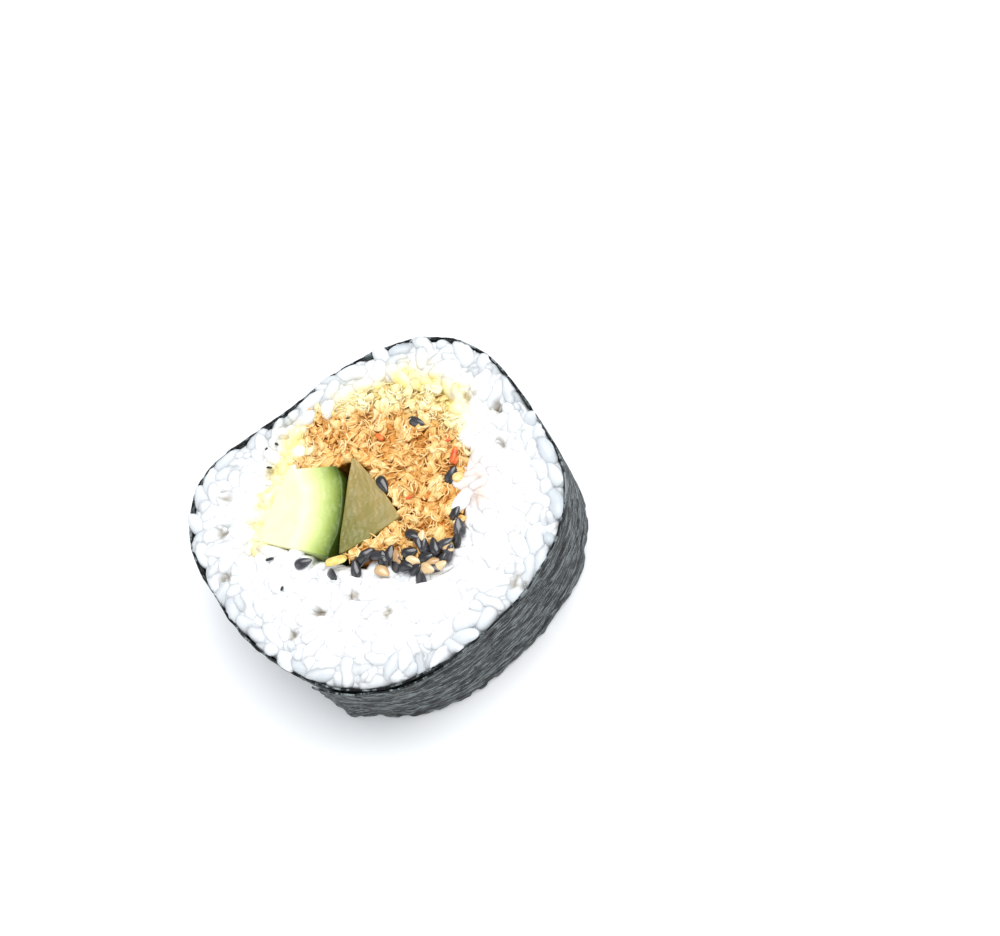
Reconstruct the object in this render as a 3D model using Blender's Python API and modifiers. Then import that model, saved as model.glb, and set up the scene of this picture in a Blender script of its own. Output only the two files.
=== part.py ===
"""Tuna futomaki: one slice of a thick sushi roll, standing on its lower cut face.

Frame: +Z along the roll's axis, origin at the centre of the lower cut face. Metres.
A nori sheet wraps a ring of rice, and the fillings run through it from cut to cut: a cucumber
baton, a pickled radish baton, flaked tuna and a band of sesame seeds under them.
Seen on the upper cut face, +X is to the right of the cucumber and +Y is where the tuna heaps up.
"""

import math
import random

import bmesh
import bpy
import numpy as np
from mathutils import Euler

MM = 0.001

# The roll
SLICE_HEIGHT = 25.0 * MM
ROLL_RADIUS = 29.9 * MM
ROLL_WAVES = (  # waves a round, height, angle of a crest: how a hand-rolled slice departs from a circle
    (1, 1.22 * MM, -41),
    (2, 2.24 * MM, 27),
    (3, 1.16 * MM, 60),
    (4, 1.26 * MM, -8),
    (6, 0.33 * MM, -3),
    (7, 0.25 * MM, 13),
)
ROLL_POINTS = 96
GAP = 0.3 * MM  # kept between neighbouring solids

# The nori sheet
NORI_THICKNESS = 0.4 * MM
NORI_INNER_END = -66.0  # degrees; the sheet runs clockwise from here
NORI_OUTER_END = -108.0  # degrees; the free end lies over the inner end
NORI_STEP_SWEEP = 22.0  # degrees over which the outer turn climbs over the inner end
NORI_FLAP_SWEEP = 9.0  # degrees of the free end that have come loose
NORI_FLAP_LIFT = 1.5 * MM
NORI_LOW_EDGE = 0.9 * MM
NORI_HIGH_EDGE = SLICE_HEIGHT - 0.5 * MM
NORI_EDGE_RAGGED = 0.4 * MM
NORI_ROWS = 4

# Rice
GRAIN_SIZE = (6.8 * MM, 3.1 * MM, 3.1 * MM)
GRAINS_PER_FACE = 92
GRAIN_DEPTH = 1.3 * MM  # from the cut face to a grain's middle
GRAIN_TILT = 10.0  # degrees
RICE_CORE_INSET = 1.3 * MM
RICE_SIDE_INSET = 0.6 * MM

# Tuna
FLAKE_SIZE = (3.6 * MM, 1.8 * MM, 1.5 * MM)
FLAKES_PER_FACE = 36
FLAKE_TILT = 35.0
TUNA_CORE_INSET = 0.9 * MM

# Sesame seeds
SEED_SIZE = (3.3 * MM, 1.9 * MM, 1.1 * MM)
SEED_TILT = 30.0
BAND_SEEDS_PER_FACE = 14
BAND_WIDTH = 2.6 * MM
BAND_CORE_INSET = 0.9 * MM
LOOSE_SEED_DEPTH = 0.4 * MM
LOOSE_SEEDS = (  # on the tuna's upper face: place in millimetres, and turn
    (5.6, 16.8, -20),
    (3.1, 5.0, -60),
    (11.6, 4.6, 75),
    (12.4, -2.6, 50),
    (8.2, -5.6, 10),
)

# Grains, flakes and seeds
BLOB_SIDES = 5
BLOB_RINGS = 3
BLOB_WANDER = 0.25 * MM  # how far their middles rise and sink

# Batons
CUCUMBER_TOP = SLICE_HEIGHT - 0.3 * MM
PICKLE_TOP = SLICE_HEIGHT - 0.7 * MM
CORNER_ROUND = 0.5 * MM

# Outlines on the cut face, in millimetres, anticlockwise
CUCUMBER_CORNERS = (
    (-15.1, 7.6), (-20.0, -4.8), (-10.4, -8.3), (-7.2, -8.2),
    (-5.6, -3.4), (-5.1, 1.6), (-5.3, 5.2), (-6.6, 7.6),
)
PICKLE_CORNERS = (
    (-3.7, 8.9), (-4.5, 5.0), (-5.0, 0.0), (-5.5, -4.4), (-5.4, -7.5),
    (-0.7, -5.5), (4.7, -2.0), (1.2, 3.5),
)
TUNA_BEND_POINTS = (
    (-14.4, 8.4), (-8.0, 4.0), (-2.0, 0.0), (-4.0, -7.6), (-0.4, -9.0), (6.2, -9.1),
    (12.4, -7.0), (15.0, -2.6), (14.6, 3.4), (15.8, 9.6), (13.2, 16.6), (8.2, 21.6),
    (2.0, 22.6), (-4.5, 20.6), (-8.6, 18.0), (-11.2, 18.4), (-13.4, 14.5),
)
BAND_BEND_POINTS = (
    (-11.2, -10.4), (-5.6, -10.7), (1.0, -11.6), (7.6, -11.3), (13.0, -9.2), (16.2, -5.2),
)

# Colours and roughness of the plain solids
NORI_LOOK = ((0.020, 0.024, 0.022), 0.55)
RICE_LOOK = ((0.86, 0.86, 0.82), 0.45)
TUNA_LOOK = ((0.78, 0.42, 0.16), 0.60)
CUCUMBER_LOOK = ((0.72, 0.80, 0.42), 0.35)
PICKLE_LOOK = ((0.44, 0.42, 0.14), 0.35)
SESAME_LOOK = ((0.015, 0.014, 0.014), 0.40)


def smooth_step(share):
    share = np.clip(share, 0, 1)
    return share * share * (3 - 2 * share)


def roll_radius(angle):
    """Radius of the nori's outer face: a circle with a few slow waves. angle is in radians."""
    waves = (rise * np.cos(count * (angle - math.radians(crest))) for count, rise, crest in ROLL_WAVES)
    return ROLL_RADIUS + sum(waves)


def nori_run(share):
    """The sheet's middle line at that share of its height, as angles and radii: one turn and a lap."""
    sweep = 360.0 + (NORI_INNER_END - NORI_OUTER_END)
    turned = np.linspace(0, sweep, int(ROLL_POINTS * sweep / 360))
    angle = np.radians(NORI_INNER_END - turned)
    lap = (NORI_THICKNESS + GAP) * smooth_step((turned - 360 + NORI_STEP_SWEEP) / NORI_STEP_SWEEP)
    loose = smooth_step((turned - sweep + NORI_FLAP_SWEEP) / NORI_FLAP_SWEEP)
    radius = roll_radius(angle) - NORI_THICKNESS / 2 + lap + loose * NORI_FLAP_LIFT * (1 - share)
    return angle, radius


def roll_centre():
    """Middle of the box round the sheet's lower and upper edges, which is moved onto the origin."""
    runs = [nori_run(share) for share in (0.0, 1.0)]
    places = np.vstack([np.column_stack([r * np.cos(a), r * np.sin(a)]) for a, r in runs])
    return (places.min(0) + places.max(0)) / 2


def roll_outline(inset):
    """The roll's outline drawn in by inset, as points around the axis."""
    angle = np.linspace(0, 2 * math.pi, ROLL_POINTS, endpoint=False)
    radius = roll_radius(angle) - inset
    return np.column_stack([radius * np.cos(angle), radius * np.sin(angle)]) - roll_centre()


def in_metres(points):
    return np.array(points) * MM - roll_centre()


def bend(before, here, after, later, share):
    """A point of the Catmull-Rom curve from here to after, at that share of the way."""
    return 0.5 * (
        2 * here
        + (after - before) * share
        + (2 * before - 5 * here + 4 * after - later) * share**2
        + (3 * here - before - 3 * after + later) * share**3
    )


def smooth_loop(points, steps=4):
    """A closed smooth curve through the points."""
    near = [np.roll(points, turn, 0) for turn in (1, 0, -1, -2)]
    rows = [bend(*near, share) for share in np.linspace(0, 1, steps, endpoint=False)]
    return np.stack(rows, 1).reshape(-1, 2)


def rounded_loop(points, radius):
    """A closed outline whose corners are cut by short arcs of about that radius."""
    rows = []
    for before, corner, after in zip(np.roll(points, 1, 0), points, np.roll(points, -1, 0)):
        start = corner + (before - corner) * min(radius / np.linalg.norm(before - corner), 0.4)
        end = corner + (after - corner) * min(radius / np.linalg.norm(after - corner), 0.4)
        rows += [(1 - t) ** 2 * start + 2 * t * (1 - t) * corner + t**2 * end for t in (0.0, 0.5, 1.0)]
    return np.array(rows)


def grown(outline, margin):
    """The anticlockwise outline moved outwards by margin along its mean edge normals."""
    ahead = np.roll(outline, -1, 0) - outline
    ahead /= np.linalg.norm(ahead, axis=1)[:, None]
    mean = ahead + np.roll(ahead, 1, 0)
    mean /= np.linalg.norm(mean, axis=1)[:, None]
    normal = np.column_stack([mean[:, 1], -mean[:, 0]])
    lean = np.abs((np.column_stack([ahead[:, 1], -ahead[:, 0]]) * normal).sum(1))
    return outline + normal * (margin / np.maximum(lean, 0.5))[:, None]


def cucumber_outline():
    return rounded_loop(in_metres(CUCUMBER_CORNERS), CORNER_ROUND)


def pickle_outline():
    return rounded_loop(in_metres(PICKLE_CORNERS), CORNER_ROUND)


def tuna_outline():
    return smooth_loop(in_metres(TUNA_BEND_POINTS))


def band_outline():
    """The sesame band: a strip of even width along a smooth line, with blunt ends."""
    line = in_metres(BAND_BEND_POINTS)
    ends = np.vstack([2 * line[0] - line[1], line, 2 * line[-1] - line[-2]])
    steps = np.linspace(0, 1, 4, endpoint=False)[:, None]
    middle = np.vstack([bend(*near, steps) for near in zip(ends, ends[1:], ends[2:], ends[3:])] + [line[-1]])
    along = np.gradient(middle, axis=0)
    along /= np.linalg.norm(along, axis=1)[:, None]
    side = np.column_stack([-along[:, 1], along[:, 0]]) * (BAND_WIDTH / 2)
    return np.vstack([middle - side, (middle + side)[::-1]])


def inside(outline, points):
    """Which points lie inside the closed outline, by counting the edges that a ray crosses."""
    a, b = outline, np.roll(outline, -1, 0)
    x, y = points[:, 0][:, None], points[:, 1][:, None]
    crosses = (a[:, 1] > y) != (b[:, 1] > y)
    run = np.where(b[:, 1] == a[:, 1], 1.0, b[:, 1] - a[:, 1])
    return (crosses & (x < a[:, 0] + (y - a[:, 1]) / run * (b[:, 0] - a[:, 0]))).sum(1) % 2 == 1


def material(name, look):
    colour, roughness = look
    made = bpy.data.materials.new(name)
    made.use_nodes = True
    shader = made.node_tree.nodes["Principled BSDF"]
    shader.inputs["Base Color"].default_value = (*colour, 1)
    shader.inputs["Roughness"].default_value = roughness
    return made


def collection(name):
    made = bpy.data.collections.new(name)
    bpy.context.scene.collection.children.link(made)
    return made


def prism(name, outline, low, high, home):
    """A flat outline with straight walls from low to high, as a welded mesh object."""
    curve = bpy.data.curves.new(name, "CURVE")
    curve.dimensions = "2D"
    curve.fill_mode = "BOTH"
    curve.extrude = (high - low) / 2
    spline = curve.splines.new("POLY")
    spline.points.add(len(outline) - 1)
    corners = np.column_stack([outline, np.zeros(len(outline)), np.ones(len(outline))])
    spline.points.foreach_set("co", corners.ravel())
    spline.use_cyclic_u = True
    drawn = bpy.data.objects.new(name + "_curve", curve)
    drawn.location.z = (low + high) / 2
    bpy.context.scene.collection.objects.link(drawn)
    bpy.context.view_layer.update()
    mesh = bpy.data.meshes.new_from_object(drawn.evaluated_get(bpy.context.evaluated_depsgraph_get()))
    mesh.name = name
    mesh.transform(drawn.matrix_world)
    bpy.data.objects.remove(drawn)
    work = bmesh.new()
    work.from_mesh(mesh)
    bmesh.ops.remove_doubles(work, verts=work.verts, dist=0.001 * MM)
    bmesh.ops.recalc_face_normals(work, faces=work.faces)
    work.to_mesh(mesh)
    work.free()
    made = bpy.data.objects.new(name, mesh)
    home.objects.link(made)
    return made


def cutter(name, outline, low, high, home):
    made = prism(name, outline, low, high, home)
    made.hide_render = True
    made.display_type = "WIRE"
    return made


def blob_mesh(name, size):
    """A low ellipsoid of that size, long in X: a grain, a flake or a seed."""
    work = bmesh.new()
    bmesh.ops.create_uvsphere(work, u_segments=BLOB_SIDES, v_segments=BLOB_RINGS, radius=0.5)
    turn = Euler((0, math.pi / 2, 0)).to_matrix()
    bmesh.ops.rotate(work, matrix=turn, verts=work.verts)
    bmesh.ops.scale(work, vec=size, verts=work.verts)
    mesh = bpy.data.meshes.new(name)
    work.to_mesh(mesh)
    work.free()
    return mesh


def place_blob(mesh, place, turn, home):
    made = bpy.data.objects.new(mesh.name, mesh)
    made.location = place
    made.rotation_euler = turn
    home.objects.link(made)


def spread(outline, holes, count, draw):
    """Points spread evenly over the outline less its holes: each is the candidate farthest from the rest."""
    low, high = outline.min(0), outline.max(0)
    chosen = np.empty((0, 2))
    while len(chosen) < count:
        tries = np.array([[draw.uniform(low[0], high[0]), draw.uniform(low[1], high[1])] for _ in range(90)])
        keep = inside(outline, tries)
        for hole in holes:
            keep &= ~inside(hole, tries)
        tries = tries[keep]
        if len(chosen) == 0:
            chosen = tries[:1]
            continue
        nearest = np.linalg.norm(tries[:, None] - chosen[None], axis=2).min(1)
        chosen = np.vstack([chosen, tries[nearest.argmax()]])
    return chosen


def scatter(mesh, places, depth, tilt, home, draw):
    """Blobs at the places on both cut faces, their middles at about that depth, turned any way round."""
    for face, level in ((1, SLICE_HEIGHT - depth), (-1, depth)):
        for x, y in places[face]:
            lean = math.radians(draw.uniform(-tilt, tilt))
            turn = Euler((draw.uniform(0, math.pi), lean, draw.uniform(0, 2 * math.pi)))
            place_blob(mesh, (x, y, level + draw.uniform(-BLOB_WANDER, BLOB_WANDER)), turn, home)


def boolean(target, operation, other):
    """A Boolean by the manifold solver: the exact one takes minutes over hundreds of touching grains."""
    modifier = target.modifiers.new(operation.title(), "BOOLEAN")
    modifier.operation = operation
    modifier.solver = "MANIFOLD"
    if isinstance(other, bpy.types.Collection):
        modifier.operand_type = "COLLECTION"
        modifier.collection = other
    else:
        modifier.object = other


def settle(target, spent, look_name, look):
    """Applies the Booleans, removes the fused pieces, drops loose scrap and gives the material."""
    bpy.context.view_layer.update()
    graph = bpy.context.evaluated_depsgraph_get()
    mesh = bpy.data.meshes.new_from_object(target.evaluated_get(graph))
    target.modifiers.clear()
    target.data = mesh
    for used in list(spent.objects):
        bpy.data.objects.remove(used)
    bpy.data.collections.remove(spent)
    work = bmesh.new()
    work.from_mesh(mesh)
    left, bodies = set(work.faces), []
    while left:
        body, edge = set(), [left.pop()]
        while edge:
            face = edge.pop()
            body.add(face)
            near = {f for e in face.edges for f in e.link_faces if f in left}
            left -= near
            edge.extend(near)
        bodies.append(body)
    main_body = max(bodies, key=len)
    bmesh.ops.delete(work, geom=[f for f in work.faces if f not in main_body], context="FACES")
    work.to_mesh(mesh)
    work.free()
    mesh.shade_smooth()
    mesh.set_sharp_from_angle(angle=math.radians(40))
    mesh.materials.clear()
    mesh.materials.append(material(look_name, look))


def channels(core, holes, cutters):
    """Cuts the room for each neighbouring filling right through the core."""
    for number, hole in enumerate(holes):
        name = f"{core.name}_channel_{number}"
        low, high = -SLICE_HEIGHT / 2, SLICE_HEIGHT * 2
        boolean(core, "DIFFERENCE", cutter(name, grown(hole, GAP), low, high, cutters))


def add_nori(home):
    """The wrapper: an open sheet on a spiral whose free end has come a little loose, thickened."""
    centre = roll_centre()
    work = bmesh.new()
    rows = []
    for share in np.linspace(0, 1, NORI_ROWS):
        angle, radius = nori_run(share)
        low = NORI_LOW_EDGE + NORI_EDGE_RAGGED * np.cos(angle * 17) * np.cos(angle * 5 + 1)
        high = NORI_HIGH_EDGE + NORI_EDGE_RAGGED * np.cos(angle * 11 + 2) * np.cos(angle * 3)
        x, y = radius * np.cos(angle) - centre[0], radius * np.sin(angle) - centre[1]
        rows.append([work.verts.new(place) for place in zip(x, y, low + (high - low) * share)])
    for lower, upper in zip(rows, rows[1:]):
        for i in range(len(lower) - 1):
            work.faces.new((lower[i + 1], lower[i], upper[i], upper[i + 1]))
    mesh = bpy.data.meshes.new("nori")
    work.to_mesh(mesh)
    work.free()
    made = bpy.data.objects.new("nori", mesh)
    home.objects.link(made)
    wall = made.modifiers.new("Wall", "SOLIDIFY")
    wall.thickness = NORI_THICKNESS
    wall.offset = 0
    mesh.shade_smooth()
    mesh.materials.append(material("toasted_seaweed", NORI_LOOK))


def add_rice(home, cutters, holes, draw):
    """A ring of packed rice: a core with the grains that show on both cuts fused on."""
    wall = NORI_THICKNESS + GAP
    low, high = RICE_CORE_INSET, SLICE_HEIGHT - RICE_CORE_INSET
    core = prism("rice", roll_outline(wall + RICE_SIDE_INSET), low, high, home)
    room = roll_outline(wall + GRAIN_SIZE[1] / 2)
    taken = [grown(hole, GRAIN_SIZE[1] / 3) for hole in holes]
    places = {face: spread(room, taken, GRAINS_PER_FACE, draw) for face in (1, -1)}
    grains = collection("rice_grains")
    scatter(blob_mesh("grain", GRAIN_SIZE), places, GRAIN_DEPTH, GRAIN_TILT, grains, draw)
    boolean(core, "UNION", grains)
    boolean(core, "INTERSECT", cutter("rice_envelope", roll_outline(wall), 0, SLICE_HEIGHT, cutters))
    channels(core, holes, cutters)
    settle(core, grains, "steamed_rice", RICE_LOOK)


def add_tuna(home, cutters, holes, draw):
    """Flaked tuna that fills the room beside the batons, with flakes and loose seeds fused on its cuts."""
    outline = tuna_outline()
    core = prism("tuna", outline, TUNA_CORE_INSET, SLICE_HEIGHT - TUNA_CORE_INSET, home)
    taken = [grown(hole, FLAKE_SIZE[1] / 3) for hole in holes]
    places = {face: spread(outline, taken, FLAKES_PER_FACE, draw) for face in (1, -1)}
    flakes = collection("tuna_flakes")
    scatter(blob_mesh("flake", FLAKE_SIZE), places, TUNA_CORE_INSET, FLAKE_TILT, flakes, draw)
    seed = blob_mesh("seed", SEED_SIZE)
    for x, y, turn in LOOSE_SEEDS:
        x, y = in_metres((x, y))
        place_blob(seed, (x, y, SLICE_HEIGHT - LOOSE_SEED_DEPTH), Euler((0, 0, math.radians(turn))), flakes)
    boolean(core, "UNION", flakes)
    boolean(core, "INTERSECT", cutter("tuna_envelope", outline, 0, SLICE_HEIGHT, cutters))
    channels(core, holes, cutters)
    settle(core, flakes, "flaked_tuna", TUNA_LOOK)


def add_sesame(home, cutters, draw):
    """The seeds strewn under the fillings: a thin band with the seeds that show fused on its cuts."""
    outline = band_outline()
    core = prism("sesame", outline, BAND_CORE_INSET, SLICE_HEIGHT - BAND_CORE_INSET, home)
    places = {face: spread(outline, [], BAND_SEEDS_PER_FACE, draw) for face in (1, -1)}
    seeds = collection("band_seeds")
    scatter(blob_mesh("band_seed", SEED_SIZE), places, BAND_CORE_INSET, SEED_TILT, seeds, draw)
    boolean(core, "UNION", seeds)
    boolean(core, "INTERSECT", cutter("band_envelope", outline, 0, SLICE_HEIGHT, cutters))
    settle(core, seeds, "sesame_seeds", SESAME_LOOK)


def add_baton(name, outline, high, look, home):
    """A vegetable baton cut through with the roll: its outline from cut to cut."""
    made = prism(name, outline, 0, high, home)
    made.data.materials.append(material(name, look))


def main():
    for old in list(bpy.data.objects):
        bpy.data.objects.remove(old)
    home, cutters = collection("futomaki"), collection("cutters")
    draw = random.Random(7)
    cucumber, pickle, tuna, band = cucumber_outline(), pickle_outline(), tuna_outline(), band_outline()
    add_nori(home)
    add_rice(home, cutters, [tuna, cucumber, pickle, band], draw)
    add_tuna(home, cutters, [cucumber, pickle, band], draw)
    add_sesame(home, cutters, draw)
    add_baton("cucumber", cucumber, CUCUMBER_TOP, CUCUMBER_LOOK, home)
    add_baton("pickle", pickle, PICKLE_TOP, PICKLE_LOOK, home)


main()
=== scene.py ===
# Tuna futomaki, one slice standing on its cut face: the looks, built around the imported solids.
# Metres, +Z up along the roll. A nori sheet, a ring of rice, cucumber, pickled radish, flaked tuna, sesame.

import math

import bpy
import numpy as np
from mathutils import Matrix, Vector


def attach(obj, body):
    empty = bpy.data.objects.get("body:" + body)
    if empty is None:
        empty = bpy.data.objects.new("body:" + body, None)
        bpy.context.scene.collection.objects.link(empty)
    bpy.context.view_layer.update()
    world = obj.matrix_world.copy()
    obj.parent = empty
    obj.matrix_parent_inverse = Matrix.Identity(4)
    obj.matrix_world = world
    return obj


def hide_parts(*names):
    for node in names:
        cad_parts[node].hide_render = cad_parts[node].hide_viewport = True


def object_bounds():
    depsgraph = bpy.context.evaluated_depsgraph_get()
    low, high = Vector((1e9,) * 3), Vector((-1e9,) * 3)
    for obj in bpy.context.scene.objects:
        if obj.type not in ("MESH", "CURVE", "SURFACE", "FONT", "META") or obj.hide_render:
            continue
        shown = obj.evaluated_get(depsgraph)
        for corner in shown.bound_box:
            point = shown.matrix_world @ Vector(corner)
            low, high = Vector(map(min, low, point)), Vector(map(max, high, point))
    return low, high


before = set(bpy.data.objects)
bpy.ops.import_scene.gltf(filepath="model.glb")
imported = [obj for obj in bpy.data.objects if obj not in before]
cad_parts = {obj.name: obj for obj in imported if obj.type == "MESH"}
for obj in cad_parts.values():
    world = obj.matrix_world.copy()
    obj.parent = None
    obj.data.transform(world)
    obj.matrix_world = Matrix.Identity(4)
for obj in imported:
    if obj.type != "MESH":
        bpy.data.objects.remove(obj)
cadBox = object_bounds()

mm = 0.001
sliceHeight = cadBox[1][2] - cadBox[0][2]

roll = {
    "radius": 29.9 * mm,
    # waves a round, height in mm, angle of a crest in degrees
    "waves": ((1, 1.22, -41), (2, 2.24, 27), (3, 1.16, 60), (4, 1.26, -8), (6, 0.33, -3), (7, 0.25, 13)),
    "noriThickness": 0.4 * mm,
    "gap": 0.3 * mm,
    "innerEnd": -66.0,
    "outerEnd": -108.0,
    "lapSweep": 22.0,
    "flapSweep": 9.0,
    "flapLift": 1.5 * mm,
}


def smoothStep(share):
    # 0 to 1 with soft ends: three squares less two cubes
    share = np.clip(share, 0, 1)
    return share * share * (3 - 2 * share)


def ripple(points, size, seed, waves=20):
    # a smooth random field of that grain size: cosines in random directions, added up, about -1 to 1
    draw = np.random.default_rng(seed)
    ways = draw.normal(size=(waves, points.shape[-1]))
    ways /= np.linalg.norm(ways, axis=1)[:, None]
    ways *= 2 * np.pi / (size * draw.uniform(0.7, 1.5, waves))[:, None]
    return np.cos(points @ ways.T + draw.uniform(0, 2 * np.pi, waves)).sum(-1) / math.sqrt(waves)


def ripples(points, layers, seed):
    # some such fields added up: each layer is a height and a size in millimetres
    return sum(height * ripple(points, size * mm, seed + k) for k, (height, size) in enumerate(layers))


def rollRadius(angle):
    # a mean radius with a few cosine waves round it
    return roll["radius"] + sum(rise * mm * np.cos(n * (angle - math.radians(crest)))
                                for n, rise, crest in roll["waves"])


def noriRun(share, steps):
    # the sheet's middle line at that share of its height: clockwise once round and on over its own start,
    # climbing by one thickness there, the free end lifting off below
    sweep = 360.0 + roll["innerEnd"] - roll["outerEnd"]
    turned = np.linspace(0, sweep, steps)
    angle = np.radians(roll["innerEnd"] - turned)
    overlap = smoothStep((turned - 360 + roll["lapSweep"]) / roll["lapSweep"])
    lap = (roll["noriThickness"] + roll["gap"]) * overlap
    loose = roll["flapLift"] * smoothStep((turned - sweep + roll["flapSweep"]) / roll["flapSweep"])
    return angle, rollRadius(angle) - roll["noriThickness"] / 2 + lap + loose * (1 - share)


def findCentre():
    # the middle of the sheet's box, so that the frame's origin is under the middle of the slice
    ends = [noriRun(share, 129) for share in (0.0, 1.0)]
    places = np.vstack([np.column_stack([r * np.cos(a), r * np.sin(a)]) for a, r in ends])
    return (places.min(0) + places.max(0)) / 2


rollCentre = findCentre()


def onFace(points):
    # places given in millimetres on the cut face, as metres in the frame
    return np.array(points, float) * mm - rollCentre


def insideLoop(loop, points):
    # a ray to the right crosses the loop an odd number of times
    a, b = loop, np.roll(loop, -1, 0)
    x, y = points[:, 0][:, None], points[:, 1][:, None]
    crosses = (a[:, 1] > y) != (b[:, 1] > y)
    run = np.where(b[:, 1] == a[:, 1], 1.0, b[:, 1] - a[:, 1])
    return (crosses & (x < a[:, 0] + (y - a[:, 1]) / run * (b[:, 0] - a[:, 0]))).sum(1) % 2 == 1


def distanceTo(loop, points):
    # shortest way from each point to the closed loop's edges
    a, b = loop, np.roll(loop, -1, 0)
    along = b - a
    share = ((points[:, None] - a) * along).sum(2) / (along**2).sum(1)
    nearest = a + np.clip(share, 0, 1)[..., None] * along
    return np.linalg.norm(points[:, None] - nearest, axis=2).min(1)


def smoothLine(points, count):
    # a Catmull-Rom curve through the points, at even steps of its length
    ends = np.vstack([2 * points[0] - points[1], points, 2 * points[-1] - points[-2]])
    t = np.linspace(0, 1, 16, endpoint=False)[:, None]
    rows = [0.5 * (2 * b + (c - a) * t + (2 * a - 5 * b + 4 * c - d) * t**2 + (3 * b - a - 3 * c + d) * t**3)
            for a, b, c, d in zip(ends, ends[1:], ends[2:], ends[3:])]
    return evenLine(np.vstack(rows + [points[-1]]), count)


def lengthAlong(line):
    # the length run at each point: its steps added up
    return np.concatenate([[0], np.cumsum(np.linalg.norm(np.diff(line, axis=0), axis=1))])


def placesAlong(line, at):
    # the line's points at those lengths from its start
    length = lengthAlong(line)
    return np.column_stack([np.interp(at, length, line[:, k]) for k in range(line.shape[1])])


def evenLine(line, count):
    # that many points at even steps of the line's length
    return placesAlong(line, np.linspace(0, lengthAlong(line)[-1], count))


def makePiece(name, verts, faces, attributes=None, uv=None):
    # faces is a list of index arrays, each of quads or of triangles; an attribute holds a number or a
    # vector for every vertex
    mesh = bpy.data.meshes.new(name)
    loops = np.concatenate([part.ravel() for part in faces]).astype(np.int32)
    sides = np.concatenate([np.full(len(part), part.shape[1]) for part in faces])
    mesh.vertices.add(len(verts))
    mesh.vertices.foreach_set("co", np.ascontiguousarray(verts, np.float32).ravel())
    mesh.loops.add(len(loops))
    mesh.loops.foreach_set("vertex_index", loops)
    mesh.polygons.add(len(sides))
    mesh.polygons.foreach_set("loop_start", (np.cumsum(sides) - sides).astype(np.int32))
    mesh.update(calc_edges=True)
    for key, values in (attributes or {}).items():
        isVector = np.ndim(values) == 2
        layer = mesh.attributes.new(key, "FLOAT_VECTOR" if isVector else "FLOAT", "POINT")
        field = np.ascontiguousarray(values, np.float32).ravel()
        layer.data.foreach_set("vector" if isVector else "value", field)
    if uv is not None:
        mesh.uv_layers.new(name="UVMap").data.foreach_set("uv", uv[loops].astype(np.float32).ravel())
    mesh.validate()
    mesh.shade_smooth()
    piece = bpy.data.objects.new(name, mesh)
    bpy.context.scene.collection.objects.link(piece)
    return piece


def finishPiece(piece, material, slot, *nodes):
    # its material and body, and the nodes it stands for; the slot is not used
    piece.data.materials.append(material)
    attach(piece, "root")
    if nodes:
        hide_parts(*nodes)
    return piece


def gridQuads(rows, cols, closeRows=False, closeCols=False):
    # the four-cornered faces of a grid of points, closed round in either direction
    i = np.arange(rows if closeRows else rows - 1)[:, None]
    j = np.arange(cols if closeCols else cols - 1)[None]
    nextI, nextJ = (i + 1) % rows, (j + 1) % cols
    quads = np.stack([i * cols + j, i * cols + nextJ, nextI * cols + nextJ, nextI * cols + j], -1)
    return quads.reshape(-1, 4)


def ballGrid(rings, sides):
    # u runs from pole to pole along the length, v goes round; the two poles are single points
    u = np.concatenate([[0], np.repeat(np.linspace(0, np.pi, rings + 2)[1:-1], sides), [np.pi]])
    v = np.concatenate([[0], np.tile(np.arange(sides) * 2 * np.pi / sides, rings), [0]])
    quads = gridQuads(rings, sides, closeCols=True) + 1
    k = np.arange(sides)
    first = np.column_stack([np.zeros(sides, int), (k + 1) % sides + 1, k + 1])
    last = (rings - 1) * sides + 1
    end = np.column_stack([np.full(sides, rings * sides + 1), last + k, last + (k + 1) % sides])
    return u, v, [quads, np.vstack([first, end])]


def turnsFrom(yaw, pitch, spin):
    # rotation matrices: spun about their own length, tipped up by pitch, then swung round by yaw
    cy, cp, cs = np.cos(yaw), np.cos(pitch), np.cos(spin)
    sy, sp, ss = np.sin(yaw), np.sin(pitch), np.sin(spin)
    zero, one = np.zeros_like(yaw), np.ones_like(yaw)
    swing = np.stack([cy, -sy, zero, sy, cy, zero, zero, zero, one], -1).reshape(-1, 3, 3)
    tip = np.stack([cp, zero, -sp, zero, one, zero, sp, zero, cp], -1).reshape(-1, 3, 3)
    roll3 = np.stack([one, zero, zero, zero, cs, -ss, zero, ss, cs], -1).reshape(-1, 3, 3)
    return swing @ tip @ roll3


def copies(shapes, turns, places):
    # shapes is (n, verts, 3); each is turned and moved to its place on the face
    verts = np.einsum("nij,nvj->nvi", turns, shapes)
    verts[..., :2] += places[:, None]
    return verts


def settled(verts, tops, side):
    # each copy raised until its highest point is at its top, then turned over if it lies on the lower cut
    verts[..., 2] += (tops - verts[..., 2].max(1))[:, None]
    verts[..., 2] = np.where(side[:, None] > 0, verts[..., 2], sliceHeight - verts[..., 2])
    return verts


def spreadPlaces(fits, count, seed, low, high, tries=60):
    # even but irregular: each new place is the farthest of a few random ones from all that are there
    draw = np.random.default_rng(seed)
    pool = draw.uniform(low, high, (count * tries, 2))
    pool = pool[fits(pool)]
    chosen = [pool[0]]
    step = max(1, len(pool) // count)
    for k in range(1, count):
        some = pool[(k * step) % len(pool):(k * step) % len(pool) + step]
        if len(some) == 0:
            some = pool[:step]
        gaps = np.linalg.norm(some[:, None] - np.array(chosen)[None], axis=2).min(1)
        chosen.append(some[gaps.argmax()])
    return np.array(chosen)


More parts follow.
